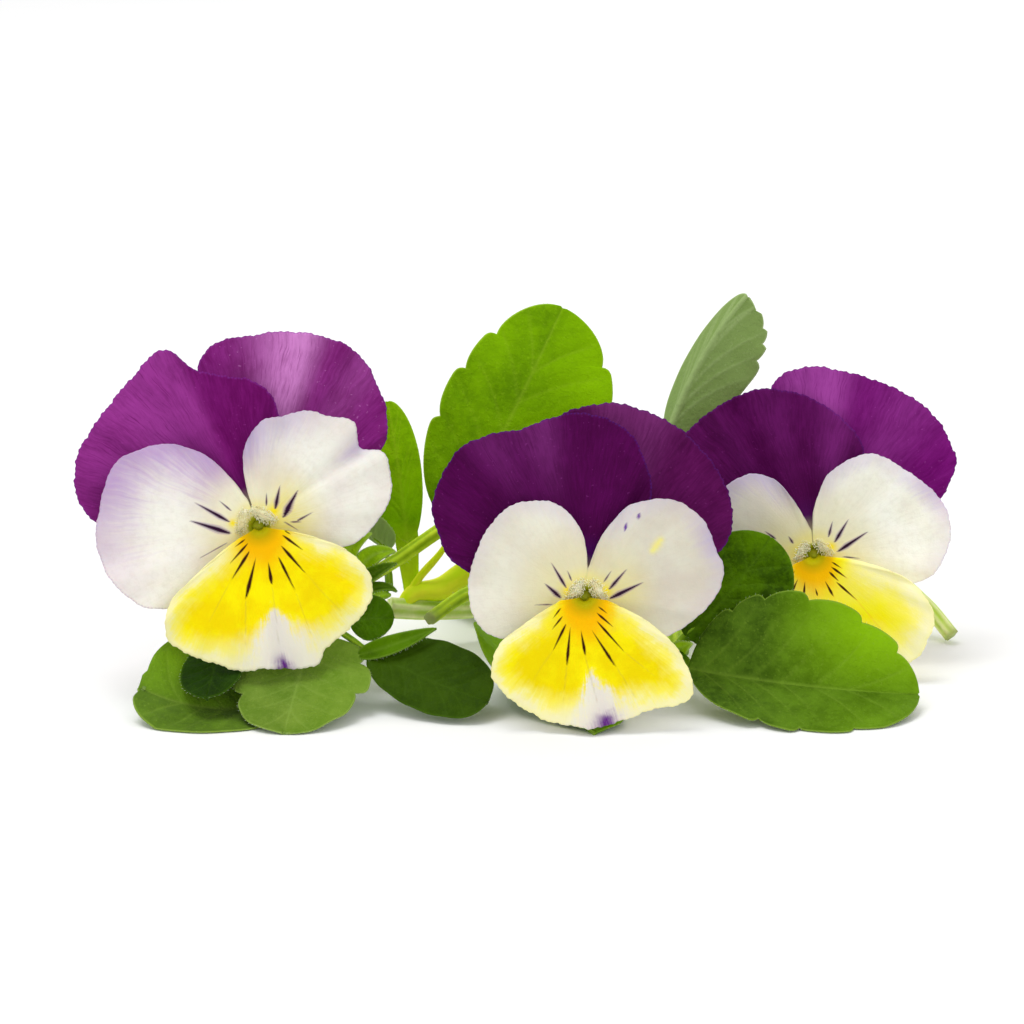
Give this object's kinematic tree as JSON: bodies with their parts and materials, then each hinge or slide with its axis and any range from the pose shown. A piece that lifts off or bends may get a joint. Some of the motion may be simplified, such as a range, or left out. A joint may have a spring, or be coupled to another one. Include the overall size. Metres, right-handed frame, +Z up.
{
  "type": "cut pansy spray",
  "caption": "Cut leafy pansy shoot lying on its side, with open purple, white and yellow flowers on curved stalks among toothed green leaves.",
  "frame": {"origin": "middle of the shoot's footprint, on the surface that it lies on", "axes": "+X along the row of flowers, from the left one to the right one as seen from the front; -Y is the front, which the flowers face; +Z up"},
  "size_m": [0.1108, 0.0622, 0.0438],
  "materials": {
    "upper_petal_back": "velvety",
    "upper_petal_front": "velvety",
    "side_petal": "velvety",
    "lower_petal": "velvety",
    "flower_heart": "waxy",
    "leaf": "satin",
    "stem": "satin",
    "flower_stalk": "satin"
  },
  "bodies": {
    "root": {"leafy_stem": "stem", "leaf_back_tall": "leaf", "leaf_back_narrow": "leaf", "leaf_left_tall": "leaf", "leaf_left_young": "leaf", "leaf_low_dark": "leaf", "leaf_low_centre": "leaf", "leaf_under_centre": "leaf", "leaf_low_left_front": "leaf", "leaf_low_left": "leaf", "leaf_low_left_small": "leaf", "leaf_front_right": "leaf", "leaf_mid_right": "leaf", "leaf_rear_left": "leaf", "leaf_rear_centre": "leaf", "leaf_rear_right": "leaf", "left_flower_stalk": "flower_stalk", "left_heart": "flower_heart", "left_petal_upper_back": "upper_petal_back", "left_petal_upper_front": "upper_petal_front", "left_petal_side_left": "side_petal", "left_petal_side_right": "side_petal", "left_petal_lower": "lower_petal", "middle_flower_stalk": "flower_stalk", "middle_heart": "flower_heart", "middle_petal_upper_back": "upper_petal_back", "middle_petal_upper_front": "upper_petal_front", "middle_petal_side_left": "side_petal", "middle_petal_side_right": "side_petal", "middle_petal_lower": "lower_petal", "right_flower_stalk": "flower_stalk", "right_heart": "flower_heart", "right_petal_upper_back": "upper_petal_back", "right_petal_upper_front": "upper_petal_front", "right_petal_side_left": "side_petal", "right_petal_side_right": "side_petal", "right_petal_lower": "lower_petal"}
  },
  "joints": []
}
